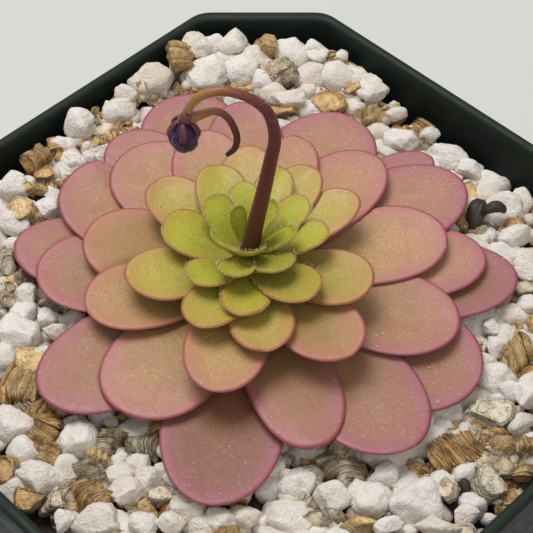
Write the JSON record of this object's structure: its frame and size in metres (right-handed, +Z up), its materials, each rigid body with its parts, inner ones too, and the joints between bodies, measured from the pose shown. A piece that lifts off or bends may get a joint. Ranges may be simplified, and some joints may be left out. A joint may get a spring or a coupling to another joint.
{
  "type": "potted butterwort",
  "caption": "Butterwort rosette of overlapping spoon-shaped leaves with a nodding flower bud, in a square tapered nursery pot of gritty potting mix.",
  "frame": {"origin": "centre of the pot's base, on the surface that it stands on", "axes": "+Z up through the pot, +X and +Y square to the pot's sides; the picture looks from +X -Y, over a cut corner"},
  "size_m": [0.0826, 0.0826, 0.1044],
  "materials": {
    "pot_plastic": "matt dark green moulded plastic",
    "mix_grains": "dry off-white perlite with golden and grey vermiculite",
    "root_fibre": "pale fleshy roots",
    "leaf_pink": "dusty pink leaves with a glistening, sticky upper face",
    "leaf_green": "yellow-green leaves with orange-pink margins",
    "leaf_lime": "lime green young leaves with short hairs",
    "stalk_maroon": "maroon fleshy stalk with fine pale hairs",
    "spur_maroon": "dark maroon spur, tan at its root",
    "bud_violet": "near-black violet furled petals",
    "calyx_maroon": "brown-maroon sepals"
  },
  "bodies": {
    "root": {"pot": "pot_plastic", "potting_mix": "mix_grains", "roots": "root_fibre", "outer_leaves": "leaf_pink", "inner_leaves": "leaf_green", "heart_leaves": "leaf_lime", "flower_stalk": "stalk_maroon", "flower_spur": "spur_maroon", "flower_bud": "bud_violet", "calyx": "calyx_maroon"}
  },
  "joints": []
}
